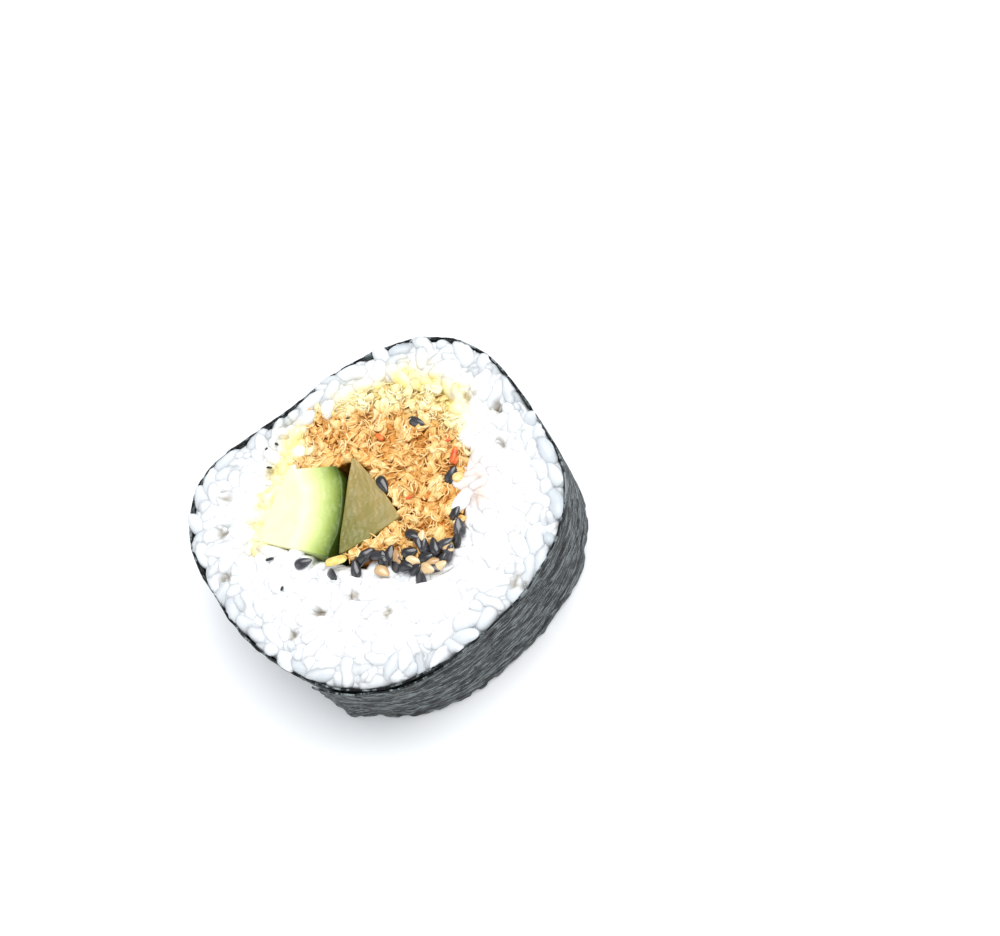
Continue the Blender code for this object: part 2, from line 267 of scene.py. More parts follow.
def outwards(verts, faces):
    # turns all faces round if the closed surface's signed volume is negative
    volume = 0.0
    for part in faces:
        a, b = verts[part[:, 0]], verts[part[:, 1]]
        for k in range(2, part.shape[1]):
            c = verts[part[:, k]]
            volume += (a * np.cross(b, c)).sum()
            b = c
    return faces if volume > 0 else [part[:, ::-1] for part in faces]


def makeCopies(name, verts, size, faces, marks=None):
    # one piece out of many copies of a shape of that many points
    step = (np.arange(len(verts) // size) * size)[:, None, None]
    faces = [(part[None] + step).reshape(-1, part.shape[1]) for part in faces]
    return makePiece(name, verts, outwards(verts, faces), marks)


def linear(hexColour):
    # an sRGB hex value as linear light
    parts = [int(hexColour[k:k + 2], 16) / 255 for k in (1, 3, 5)]
    return tuple(c / 12.92 if c <= 0.04045 else ((c + 0.055) / 1.055) ** 2.4 for c in parts) + (1.0,)


def setNode(tree, node, links=(), stops=(), **settings):
    # settings go by attribute or by socket name, stops fill a colour ramp, links are (socket, other node,
    # its output)
    for key, value in settings.items():
        if hasattr(node, key):
            setattr(node, key, value)
        else:
            node.inputs[key.replace("_", " ")].default_value = value
    for socket, other, output in links:
        tree.links.new(other.outputs[output], node.inputs[socket])
    if stops:
        ramp = node.color_ramp.elements
        while len(ramp) < len(stops):
            ramp.new(0.5)
        for element, (place, colour) in zip(ramp, stops):
            element.position = place
            element.color = linear(colour)
    return node


def addNode(tree, kind, links=(), stops=(), **settings):
    # kind is the name of a shader node, without the word that they all start with
    return setNode(tree, tree.nodes.new("ShaderNode" + kind), links, stops, **settings)


def startMaterial(name):
    material = bpy.data.materials.new(name)
    material.use_nodes = True
    tree = material.node_tree
    return material, tree, tree.nodes["Principled BSDF"]


def layOver(tree, base, output, attribute, top):
    # lays a colour, or the colours of a ramp, over base by the share that an attribute holds
    share = addNode(tree, "Attribute", attribute_name=attribute)
    mix = addNode(tree, "Mix", [("Factor", share, "Fac"), ("A", base, output)], data_type="RGBA")
    if isinstance(top, str):
        mix.inputs["B"].default_value = linear(top)
    else:
        tree.links.new(top.outputs["Color"], mix.inputs["B"])
    return mix


def mottled(tree, cloud, weight, attribute):
    # the number that an attribute holds, with a share of a cloud's added
    own = addNode(tree, "Attribute", attribute_name=attribute)
    joined = addNode(tree, "Math", [(0, cloud, "Fac"), (2, own, "Fac")], operation="MULTIPLY_ADD")
    joined.inputs[1].default_value = weight
    return joined


def plainMaterial(name, tones, roughness, size):
    # one finish in two tones, in clouds of that size
    material, tree, shader = startMaterial(name)
    coords = addNode(tree, "TexCoord")
    cloud = addNode(tree, "TexNoise", [("Vector", coords, "Object")], Scale=1 / size, Detail=3)
    body = addNode(tree, "ValToRGB", [("Fac", cloud, "Fac")], tones)
    setNode(tree, shader, [("Base Color", body, "Color")], Roughness=roughness)
    return material


# where rows of points lie in a rounded edge, as shares of its width
edgeShares = np.array([0.0, 0.05, 0.18, 0.40, 0.70])


def stripGrid(sideA, sideB, cols, edge):
    # points between two sides of a strip, crowded within edge of its border: shares along and across,
    # measured in real length so that the rounding is the same all round
    across = np.linalg.norm(sideB - sideA, axis=1)
    limit = np.minimum(edge, across * 0.45) / edge
    spare = np.where(limit < 1, across - 2 * edge * limit, np.maximum(across - 2 * edge, 1e-5))
    head = edge * edgeShares * limit[:, None]
    middle = edge * limit[:, None] + np.linspace(0, 1, cols) * spare[:, None]
    steps = np.hstack([head, middle, across[:, None] - head[:, ::-1]])
    share = steps / np.maximum(across, 1e-9)[:, None]
    grid = sideA[:, None] * (1 - share[..., None]) + sideB[:, None] * share[..., None]
    return grid, np.minimum(steps, across[:, None] - steps)


def resample(line, rows, edge):
    # even steps along the line, with a few short ones at both ends
    full = lengthAlong(line)[-1]
    near = edge * edgeShares
    at = np.concatenate([near, np.linspace(edge, full - edge, rows), full - near[::-1]])
    return placesAlong(line, at), np.minimum(at, full - at)


def slabVerts(grid, reach, low, high, edge, relief):
    # a top and an underside over the same grid, a quarter circle down at the border, walls between
    rows, cols = grid.shape[:2]
    fall = edge - np.sqrt(np.maximum(edge**2 - np.maximum(edge - reach, 0) ** 2, 0))
    flat = grid.reshape(-1, 2)
    lift = [relief(flat, side).reshape(rows, cols) * smoothStep(reach / edge) for side in (1, -1)]
    top = np.dstack([grid, high - fall + lift[0]])
    bottom = np.dstack([grid, low + fall - lift[1]])
    loop = np.concatenate([top, bottom[:, ::-1]], axis=1)
    return loop, loop.reshape(-1, 3)


def slabFaces(rows, around, closed):
    # the rows are loops round the strip, joined one to the next, with a cap at each end unless it is a ring
    faces = [gridQuads(rows, around, closeRows=closed, closeCols=True)]
    if closed:
        return faces
    half = around // 2
    j = np.arange(half - 1)
    caps = []
    for row, flip in ((0, False), (rows - 1, True)):
        base = row * around
        quad = np.column_stack([base + j, base + around - 1 - j, base + around - 2 - j, base + j + 1])
        caps.append(quad[:, ::-1] if flip else quad)
    return faces + caps


def makeSlab(name, sideA, sideB, low, high, edge, rows, cols, relief, attribute=None):
    # a strip between two sides given the thickness from low to high, its border rounded by edge
    a, along = resample(sideA, rows, edge)
    b, _ = resample(sideB, rows, edge)
    grid, across = stripGrid(a, b, cols, edge)
    reach = np.minimum(across, along[:, None])
    loop, verts = slabVerts(grid, reach, low, high, edge, relief)
    faces = outwards(verts, slabFaces(loop.shape[0], loop.shape[1], False))
    return makePiece(name, verts, faces, attribute(verts) if attribute else None)


def wallRadius(angle, inset):
    # the rice's outer wall seen from the roll's axis
    return rollRadius(angle) - roll["noriThickness"] - inset


def aroundAxis(points):
    # bearing and distance from the roll's own axis
    local = points[..., :2] + rollCentre
    return np.arctan2(local[..., 1], local[..., 0]), np.hypot(local[..., 0], local[..., 1])


nori = {
    "steps": 860, "rows": 44,
    "low": 0.5 * mm, "high": sliceHeight - 1.15 * mm,
    "thickness": 0.3 * mm,
    # waves of the two edges and of the surface: height and size in mm
    "tear": ((0.12, 1.2), (0.30, 3.4), (0.22, 8)),
    "cut": ((0.05, 1.1), (0.13, 9)),
    "puckers": ((0.16, 9), (0.07, 2.4)),
    # a thread's width and how far it is drawn out, the size of a patch, the depth of both
    "thread": 0.667 * mm, "threadStretch": 0.17, "patch": 2 * mm, "relief": 0.35 * mm,
    "tones": ((0.64, "#020202"), (0.71, "#111415"), (0.77, "#343a3b"), (0.85, "#868e8f")),
    "torn": "#3c3f1c",
}


def toastedSeaweed():
    # nori, a dried felt of seaweed threads: matt with a low sheen, the threads running round the roll,
    # with olive showing where the sheet is torn
    material, tree, shader = startMaterial("toastedSeaweed")
    coords = addNode(tree, "TexCoord")
    lie = addNode(tree, "Mapping", [("Vector", coords, "UV")], Scale=(nori["threadStretch"], 1, 1))
    thread = addNode(tree, "TexNoise", [("Vector", lie, "Vector")], Scale=1 / nori["thread"],
                     Detail=6, Roughness=0.75, Distortion=0.8)
    patch = addNode(tree, "TexNoise", [("Vector", coords, "UV")], Scale=1 / nori["patch"],
                    Detail=5, Roughness=0.75)
    joined = addNode(tree, "Math", [(0, thread, "Fac"), (1, patch, "Fac"), (2, thread, "Fac")],
                     operation="MULTIPLY_ADD")
    body = addNode(tree, "ValToRGB", [("Fac", joined, "Value")], nori["tones"])
    mixed = layOver(tree, body, "Color", "torn", nori["torn"])
    bump = addNode(tree, "Bump", [("Height", joined, "Value")], Strength=1, Distance=nori["relief"])
    rough = addNode(tree, "MapRange", [("Value", patch, "Fac")], To_Min=0.36, To_Max=0.66)
    setNode(tree, shader, [("Base Color", mixed, "Result"), ("Normal", bump, "Normal"),
                           ("Roughness", rough, "Result")], Specular_IOR_Level=0.22)
    return material


def addNoriSheet():
    # surface: angle and radius follow the spiral, height runs from the torn lower edge to the cut upper
    # one; long shallow puckers and short creases push it in, never out
    rows, steps = nori["rows"], nori["steps"]
    share = np.linspace(0, 1, rows)[:, None]
    angle, flatRadius = noriRun(0.0, steps)
    _, topRadius = noriRun(1.0, steps)
    ways = np.column_stack([np.cos(angle), np.sin(angle)])
    length = lengthAlong(flatRadius[:, None] * ways)
    run = np.column_stack([length, np.zeros(steps)])
    wear = np.clip(0.7 + 0.6 * ripple(run, 16 * mm, 4), 0.15, 1.6)
    torn = wear * ripples(run, nori["tear"], 5)
    low = nori["low"] + mm * np.clip(1.6 * torn + 0.35, 0, 1.8)
    high = nori["high"] + mm * np.clip(ripples(run, nori["cut"], 8), -0.35, 0.25)
    z = low + (high - low) * share
    field = np.stack([np.broadcast_to(length, z.shape), z * 2.2, z * 0], -1)
    push = np.clip(0.14 + ripples(field, nori["puckers"], 21), 0.02, 0.34)
    frayed = 0.35 * np.clip(ripple(run, 3.2 * mm, 23), 0, 1) * (1 - share) ** 10
    radius = flatRadius * (1 - share) + topRadius * share + roll["noriThickness"] / 2 - mm * (push + frayed)
    verts = np.dstack([radius[..., None] * ways - rollCentre, z]).reshape(-1, 3)
    uv = np.stack([field[..., 0], z], -1).reshape(-1, 2)
    olive = np.exp(-(z - low) / (0.5 * mm)) * np.clip(0.5 + 0.6 * ripple(run, 3 * mm, 24), 0, 1)
    sheet = makePiece("noriSheet", verts, [gridQuads(rows, steps)[:, ::-1]], {"torn": olive.ravel()}, uv)
    wall = sheet.modifiers.new("wall", "SOLIDIFY")
    wall.thickness = nori["thickness"]
    wall.offset = -1
    finishPiece(sheet, toastedSeaweed(), "nori", "nori")
    print("nori sheet made")


riceGrains = {
    # count, seed, how far below the cut the tops lie in mm, 1 for the upper cut and -1 for the lower
    "beds": ((190, 51, 0.7, 1.3, 1), (250, 52, 0, 0.55, 1), (300, 53, 0, 0.8, -1)),
    # the same along the wrapper, with how far inside it in mm in place of the seed
    "wallRows": ((54, 1.35, 0.1, 0.7, 1), (46, 1.5, 0.9, 1.7, 1), (54, 1.35, 0.1, 0.7, -1)),
    "clear": (("cucumber", 1.1), ("pickle", 1.1), ("tuna", 0.4)), "wallClear": 2.6 * mm,
    "underSeeds": (0.9, 1.7),
    "rim": 7.5 * mm,  # the grains are painted a greyer shade this near the wrapper
    "length": (5.0, 7.2), "width": (2.7, 3.3), "flatness": (0.82, 1.0),
    "bend": 0.5 * mm, "dent": 0.12 * mm,
    # this share of the grains stands up, tips in degrees
    "steepShare": 0.3, "steepTip": (35, 80), "flatTip": (-18, 18),
    "cloud": 2.38 * mm, "pores": 0.667 * mm,
    "tones": ((0.3, "#f1f3f4"), (0.62, "#fcfcfb")), "mayoTones": ((0.3, "#f6dc84"), (0.7, "#fceca6")),
    "finish": {"Roughness": 0.3, "IOR": 1.38, "Subsurface Weight": 0.4,
               "Subsurface Radius": (1.0, 0.97, 0.92), "Subsurface Scale": 1.4 * mm},
    # painted shades of the rice: grey on the grains near the wrapper, beige-grey in the holes between the
    # grains
    "rimShade": "#b8bfc4", "holeShade": "#9b9180", "blush": "#e6cfc0",
    # small holes between the grains, in millimetres on the cut face
    "gaps": ((-26.0, 3.4), (-26.2, -3.0), (-18.3, 7.4), (21.4, 9.8), (20.5, 16.0), (15.8, 18.4),
             (-25.4, -10.6), (24.0, -14.0), (-8.8, -17.2), (-12.7, -21.0), (3.0, -17.8), (-3.0, -14.6)),
    # where dressing has soaked in: place in millimetres, reach, strength
    "stains": ((-5.5, 19.4, 2.4, 0.5), (-1.8, 20.2, 2.6, 0.6), (3.4, 21.2, 3.0, 0.8),
               (8.5, 20.6, 3.2, 0.95), (12.2, 17.9, 2.8, 0.8), (15.4, 13.4, 2.2, 0.5),
               (14.6, 18.4, 2.4, 0.45), (-15.2, 11.2, 2.4, 0.8), (-11.8, 11.0, 2.2, 0.5),
               (-17.2, 6.6, 2.2, 0.95), (-18.6, 1.9, 2.0, 0.8), (-19.8, -1.7, 2.0, 0.7),
               (-20.2, -5.4, 2.0, 0.6), (-14.2, 14.6, 2.2, 0.4), (5.8, 23.4, 2.4, 0.35)),
    "blushes": ((16.9, 3.5, 3.0, 0.8), (18.3, 0.0, 2.4, 0.45), (16.4, 8.5, 2.2, 0.4)),
}


def cookedRice():
    # steamed short-grain rice: swollen translucent starch, moist, so light sinks in and glances off
    material, tree, shader = startMaterial("steamedRice")
    coords = addNode(tree, "TexCoord")
    cloud, fine = (addNode(tree, "TexNoise", [("Vector", coords, "Object")], Scale=1 / size, Detail=2)
                   for size in (riceGrains["cloud"], riceGrains["pores"]))
    body = addNode(tree, "ValToRGB", [("Fac", cloud, "Fac")], riceGrains["tones"])
    yellow = addNode(tree, "ValToRGB", [("Fac", cloud, "Fac")], riceGrains["mayoTones"])
    # painted shade: the grains near the wrapper greyer
    mixed = layOver(tree, body, "Color", "rim", riceGrains["rimShade"])
    # painted shade in the holes between the grains
    mixed = layOver(tree, mixed, "Result", "gap", riceGrains["holeShade"])
    mixed = layOver(tree, mixed, "Result", "stain", yellow)
    mixed = layOver(tree, mixed, "Result", "blush", riceGrains["blush"])
    bump = addNode(tree, "Bump", [("Height", fine, "Fac")], Strength=0.2, Distance=0.08 * mm)
    links = [("Base Color", mixed, "Result"), ("Normal", bump, "Normal")]
    setNode(tree, shader, links, **riceGrains["finish"])
    return material


def keepInWall(verts, inset):
    # draws in what would stick through the wrapper, as grains pressed against it; past the wrapper's
    # cut edges the grains may swell out over it
    angle, radius = aroundAxis(verts)
    past = np.maximum(verts[..., 2] - nori["high"], nori["low"] + 0.3 * mm - verts[..., 2])
    swell = smoothStep(past / (0.4 * mm)) * (roll["noriThickness"] - 0.05 * mm)
    limit = wallRadius(angle, inset) + swell
    scale = np.minimum(1, limit / np.maximum(radius, 1e-6))
    flat = (verts[..., :2] + rollCentre) * scale[..., None] - rollCentre
    return np.concatenate([flat, verts[..., 2:]], -1)


def stainAt(points, areas, seed):
    # how much dressing is soaked in: a soft spot round each place, broken up by a random field
    places = onFace([area[:2] for area in areas])
    gaps = np.linalg.norm(points[:, None, :2] - places[None], axis=2)
    reach = np.array([area[2] for area in areas]) * mm
    strength = np.array([area[3] for area in areas])
    spots = (strength * np.exp(-((gaps / reach) ** 2))).sum(1)
    return np.clip(spots * (1 + 0.5 * ripple(points, 3 * mm, seed)), 0, 1)


def fillingReach(angles, centre):
    # how far the fillings reach from a middle point in each direction
    far = np.zeros(len(angles))
    ways = np.column_stack([np.cos(angles), np.sin(angles)])
    for loop in fillings.values():
        a = loop - centre
        e = np.roll(loop, -1, 0) - loop
        cross = ways[:, None, 0] * e[None, :, 1] - ways[:, None, 1] * e[None, :, 0]
        cross = np.where(np.abs(cross) < 1e-12, 1e-12, cross)
        t = (a[None, :, 0] * e[None, :, 1] - a[None, :, 1] * e[None, :, 0]) / cross
        s = (a[None, :, 0] * ways[:, None, 1] - a[None, :, 1] * ways[:, None, 0]) / cross
        far = np.maximum(far, np.where((s >= 0) & (s <= 1) & (t > 0), t, 0).max(1))
    return far


def rimShare(points):
    # 0 well inside the rice, 1 at the wrapper
    angle, radius = aroundAxis(points)
    return smoothStep((radius - rollRadius(angle)) / riceGrains["rim"] + 1)


def gapShare(points):
    # 1 in the middle of a hole between grains, falling to 0 within about a millimetre
    nearest = np.linalg.norm(points[:, None, :2] - onFace(riceGrains["gaps"])[None], axis=2).min(1)
    nearest = np.maximum(nearest + 0.35 * mm * ripple(points[:, :2], 1.4 * mm, 33), 0)
    return np.exp(-((nearest / (0.85 * mm)) ** 4))


def seedPlaces():
    # where all seeds of the upper cut lie
    return onFace([seed[:2] for seed in sesame["black"] + sesame["pale"]])


def riceMarks(verts):
    # the colours' shares: dressing and tint on both cuts, painted shade in the holes on the upper one only
    return {"stain": stainAt(verts, riceGrains["stains"], 41),
            "blush": stainAt(verts, riceGrains["blushes"], 42),
            # gap: painted shade in the holes between the grains
            "gap": gapShare(verts) * (verts[:, 2] > sliceHeight / 2)}


def addRiceCore(material, angles, middle, sideA):
    # a ring between the fillings and the wrapper, higher in the middle, with bumps of grain size
    edge, across, top = 0.9 * mm, 26, 1.7 * mm
    ways = np.column_stack([np.cos(angles), np.sin(angles)])
    outer = wallRadius(angles, 0.35 * mm)[:, None] * ways - rollCentre
    dense = np.vstack([outer, outer[:1]]) - middle
    # the outer point on the same ray from the middle
    bearing = np.unwrap(np.arctan2(dense[:, 1], dense[:, 0]))
    far = np.hypot(dense[:, 0], dense[:, 1])
    target = np.mod(angles - bearing[0], 2 * np.pi) + bearing[0]
    sideB = middle + ways * np.interp(target, bearing, far)[:, None]
    grid, reach = stripGrid(sideA, sideB, across, edge)

    def bumps(points, side):
        rise = 0.6 * (1 - rimShare(points)) + 0.35 * ripple(points, 2.4 * mm, 31 + side)
        return mm * (np.clip(rise, -1.0, 0.9) - 1.8 * gapShare(points) * (side > 0))

    loop, verts = slabVerts(grid, reach, top, sliceHeight - top, edge, bumps)
    faces = outwards(verts, slabFaces(loop.shape[0], loop.shape[1], True))
    marks = riceMarks(verts)
    # painted shade, greyer towards the wrapper
    marks["rim"] = 0.4 * rimShare(verts)
    core = makePiece("riceCore", verts, faces, marks)
    finishPiece(core, material, "rice", "rice")


def addRice(material):
    angles = np.linspace(0, 2 * np.pi, 260, endpoint=False)
    middle = onFace((-1.0, 2.5))
    inner = fillingReach(angles, middle) + 0.1 * mm
    soft = sum(np.roll(inner, k) for k in range(-2, 3)) / 5
    ways = np.column_stack([np.cos(angles), np.sin(angles)])
    sideA = middle + ways * soft[:, None]
    addRiceCore(material, angles, middle, sideA)

    # the grains: an ellipsoid with fuller shoulders, one end blunter, a slight bend and soft dents
    draw = np.random.default_rng(17)
    wall = wallRadius(angles, 0)[:, None] * ways - rollCentre
    low, high = wall.min(0), wall.max(0)

    def fits(pool):
        # inside the wrapper, off the holes and clear of the fillings, but also over the band of seeds
        keep = insideLoop(wall, pool) & (distanceTo(wall, pool) > riceGrains["wallClear"])
        keep &= gapShare(pool) < 0.3
        keep &= ~insideLoop(sideA, pool) | insideLoop(fillings["band"], pool)
        for name, margin in riceGrains["clear"]:
            keep &= ~insideLoop(fillings[name], pool) & (distanceTo(fillings[name], pool) > margin * mm)
        return keep

    def laid(count, seed, top, bottom, side):
        # grains all over the face, sunk where seeds lie on them
        places = spreadPlaces(fits, count, seed, low, high)
        nearSeed = np.linalg.norm(places[:, None] - seedPlaces()[None], axis=2).min(1) < 2.6 * mm
        under = insideLoop(fillings["band"], places) | nearSeed
        tops = draw.uniform(sliceHeight - bottom * mm, sliceHeight - top * mm, count)
        tops -= under * draw.uniform(*riceGrains["underSeeds"], count) * mm
        return places, tops, np.full(count, side), draw.uniform(0, 2 * np.pi, count)

    def alongWall(count, inset, top, bottom, side):
        # a row of grains pressed against the wrapper, most of them lying along it
        at = (np.arange(count) + draw.uniform(-0.3, 0.3, count)) * 2 * np.pi / count
        radius = wallRadius(at, (inset + draw.uniform(-0.25, 0.35, count)) * mm)
        row = np.column_stack([radius * np.cos(at), radius * np.sin(at)]) - rollCentre
        yaw = at + np.pi / 2 + draw.normal(0, 0.55, count)
        return row, sliceHeight - draw.uniform(top, bottom, count) * mm, np.full(count, side), yaw

    sets = [laid(*bed) for bed in riceGrains["beds"]] + [alongWall(*row) for row in riceGrains["wallRows"]]
    places, tops, side, yaw = (np.concatenate([s[k] for s in sets]) for k in range(4))
    count = len(places)
    u, v, faces = ballGrid(8, 12)
    length = draw.uniform(*riceGrains["length"], count)[:, None] * mm
    width = draw.uniform(*riceGrains["width"], count)[:, None] * mm
    along = -np.cos(u)[None] * length / 2
    fat = np.sin(u)[None] ** 0.75 * (1 + 0.10 * np.cos(u)[None] * draw.uniform(-1, 1, (count, 1)))
    shapes = np.stack([along,
                       fat * np.cos(v) * width / 2,
                       fat * np.sin(v) * width / 2 * draw.uniform(*riceGrains["flatness"], (count, 1))], -1)
    shapes[..., 1] += draw.uniform(-1, 1, (count, 1)) * riceGrains["bend"] * (2 * along / length) ** 2
    steep = draw.uniform(size=count) < riceGrains["steepShare"]
    pitch = np.radians(np.where(steep, draw.uniform(*riceGrains["steepTip"], count),
                                draw.uniform(*riceGrains["flatTip"], count)))
    verts = copies(shapes, turnsFrom(yaw, pitch, draw.uniform(0, 2 * np.pi, count)), places)
    verts[..., 2] += riceGrains["dent"] * ripple(verts, 2.6 * mm, 61)
    verts = keepInWall(settled(verts, tops, side), 0.12 * mm).reshape(-1, 3)
    marks = riceMarks(verts)
    # painted shade: each grain greyer the nearer it lies to the wrapper, by a random amount
    marks["rim"] = np.repeat(rimShare(places) * draw.uniform(0.35, 1.0, count), len(u))
    verts[:, 2] -= 1.2 * mm * marks["gap"]
    finishPiece(makeCopies("riceGrains", verts, len(u), faces, marks), material, "rice", "rice")
    print("rice made:", count, "grains")


tuna = {
    # two sides of a strip, run the same way, in mm on the cut face
    "inner": ((-4.6, -7.9), (-0.7, -5.6), (4.9, -1.9), (1.4, 3.7), (-3.3, 9.2), (-6.2, 8.1), (-10.2, 7.9),
              (-14.2, 8.0)),
    "outer": ((-4.2, -8.8), (-0.4, -9.0), (6.2, -9.1), (12.4, -7.0), (15.0, -2.6), (14.6, 3.4), (15.8, 9.6),
              (13.2, 16.6), (8.2, 21.6), (2.0, 22.6), (-4.5, 20.6), (-8.6, 18.0), (-11.2, 18.4),
              (-13.4, 14.5), (-14.4, 9.4)),
    # beyond this line the flakes are creamy with dressing
    "creamEdge": ((-15.0, 20.5), (-12.4, 18.2), (-9.3, 16.6), (-2.6, 17.0), (4.4, 17.1), (9.5, 15.4),
                  (13.2, 11.4), (15.5, 8.4), (20.0, 4.0)),
    "coreTop": sliceHeight - 2.1 * mm,
    # how many on the upper and the lower cut, their sizes in mm
    "flakes": (340, 120), "flakeLength": (1.8, 3.6), "flakeWidth": (1.0, 2.0),
    "shreds": (900, 160), "shredLength": (1.0, 2.6), "shredThick": (0.07, 0.14),
    "fibre": 0.263 * mm, "fibreStretch": 0.2, "relief": 0.3 * mm,
    "finish": {"Roughness": 0.4, "IOR": 1.42, "Subsurface Weight": 0.12,
               "Subsurface Radius": (1.0, 0.6, 0.3), "Subsurface Scale": 0.5 * mm},
    "tones": ((0.10, "#7d3f0e"), (0.32, "#c77f2c"), (0.53, "#efb868"), (0.74, "#f9d693"), (1.0, "#fdf2c2")),
    "creamTones": ((0.16, "#e4c674"), (0.5, "#f8eaac"), (0.9, "#fdfadc")),
}


def flakedTuna():
    # cooked tuna pulled into flakes and mixed with seasoning and mayonnaise: moist bundles of pale
    # fibres, which run along each flake
    material, tree, shader = startMaterial("flakedTuna")
    own = addNode(tree, "Attribute", attribute_name="own")
    lie = addNode(tree, "Mapping", [("Vector", own, "Vector")], Scale=(tuna["fibreStretch"], 1, 1))
    fibre = addNode(tree, "TexNoise", [("Vector", lie, "Vector")], Scale=1 / tuna["fibre"], Detail=4)
    joined = mottled(tree, fibre, 0.7, "tone")
    body = addNode(tree, "ValToRGB", [("Fac", joined, "Value")], tuna["tones"])
    cream = addNode(tree, "ValToRGB", [("Fac", joined, "Value")], tuna["creamTones"])
    mixed = layOver(tree, body, "Color", "stain", cream)
    bump = addNode(tree, "Bump", [("Height", fibre, "Fac")], Strength=1, Distance=tuna["relief"])
    setNode(tree, shader, [("Base Color", mixed, "Result"), ("Normal", bump, "Normal")], **tuna["finish"])
    return material


def creamShare(points):
    # 1 where the flakes are thick with dressing: beyond an edge that wavers by about a millimetre
    edge = onFace(tuna["creamEdge"] + ((20.0, -20.0), (-20.0, -20.0)))
    beyond = distanceTo(edge, points[:, :2]) * np.where(insideLoop(edge, points), -1, 1)
    return smoothStep(0.45 + beyond / (3.4 * mm) + 0.35 * ripple(points, 2.0 * mm, 43))


def tunaMarks(verts, tone, own):
    spots = 0.8 * stainAt(verts, riceGrains["stains"], 41)
    # what lies deeper is darker: painted shade in the pits and under the flakes
    depth = np.minimum(verts[:, 2], sliceHeight - verts[:, 2]) / mm
    tone = tone - 0.26 * np.clip(depth - 0.5, 0, 1.5)
    return {"tone": tone, "own": own, "stain": np.maximum(spots, 0.85 * creamShare(verts))}


